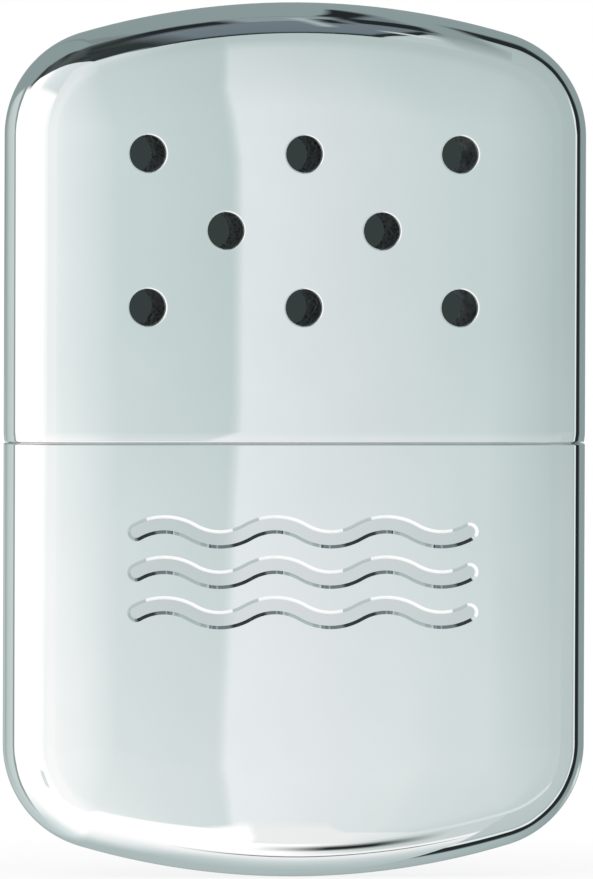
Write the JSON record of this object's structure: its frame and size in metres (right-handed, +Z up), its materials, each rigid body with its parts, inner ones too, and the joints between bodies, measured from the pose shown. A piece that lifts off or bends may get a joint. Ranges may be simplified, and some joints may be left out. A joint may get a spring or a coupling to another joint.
{
  "type": "catalytic hand warmer",
  "caption": "Pocket catalytic hand warmer: a polished two-part metal case with a fuel tank below, a pierced push-on cap above and a lift-off burner between them.",
  "frame": {"origin": "lowest point of the domed base, on the centre line of the case", "axes": "+Z up the height of the case, from the tank to the cap; -Y out of the front face; +X to the right seen from the front"},
  "size_m": [0.067, 0.013, 0.1],
  "materials": {
    "case_chrome": "mirror-polished chrome plate on drawn sheet",
    "collar_chrome": "chrome plate, lightly rubbed by the cap",
    "neck_nickel": "satin nickel plate",
    "burner_steel": "satin stainless sheet",
    "gauze_steel": "fine woven wire",
    "felt_white": "pressed felt",
    "cotton_white": "loose cotton",
    "glass_fibre": "glass-fibre mat, grey with platinum"
  },
  "bodies": {
    "tank": {"tank_shell": "case_chrome", "tank_lid": "collar_chrome", "filler_neck": "neck_nickel", "neck_screen": "gauze_steel", "neck_wick": "felt_white", "tank_wadding": "cotton_white"},
    "burner": {"burner_skirt": "burner_steel", "burner_cage": "burner_steel", "lower_gauze": "gauze_steel", "upper_gauze": "gauze_steel", "catalyst_pad": "glass_fibre"},
    "cap": {"cap_shell": "case_chrome"}
  },
  "joints": [
    {"name": "burner_lift", "type": "slide", "parent": "tank", "child": "burner", "axis": [0, 0, 1], "range_m": [0, 0.015]},
    {"name": "cap_lift", "type": "slide", "parent": "tank", "child": "cap", "axis": [0, 0, 1], "range_m": [0, 0.06]}
  ]
}
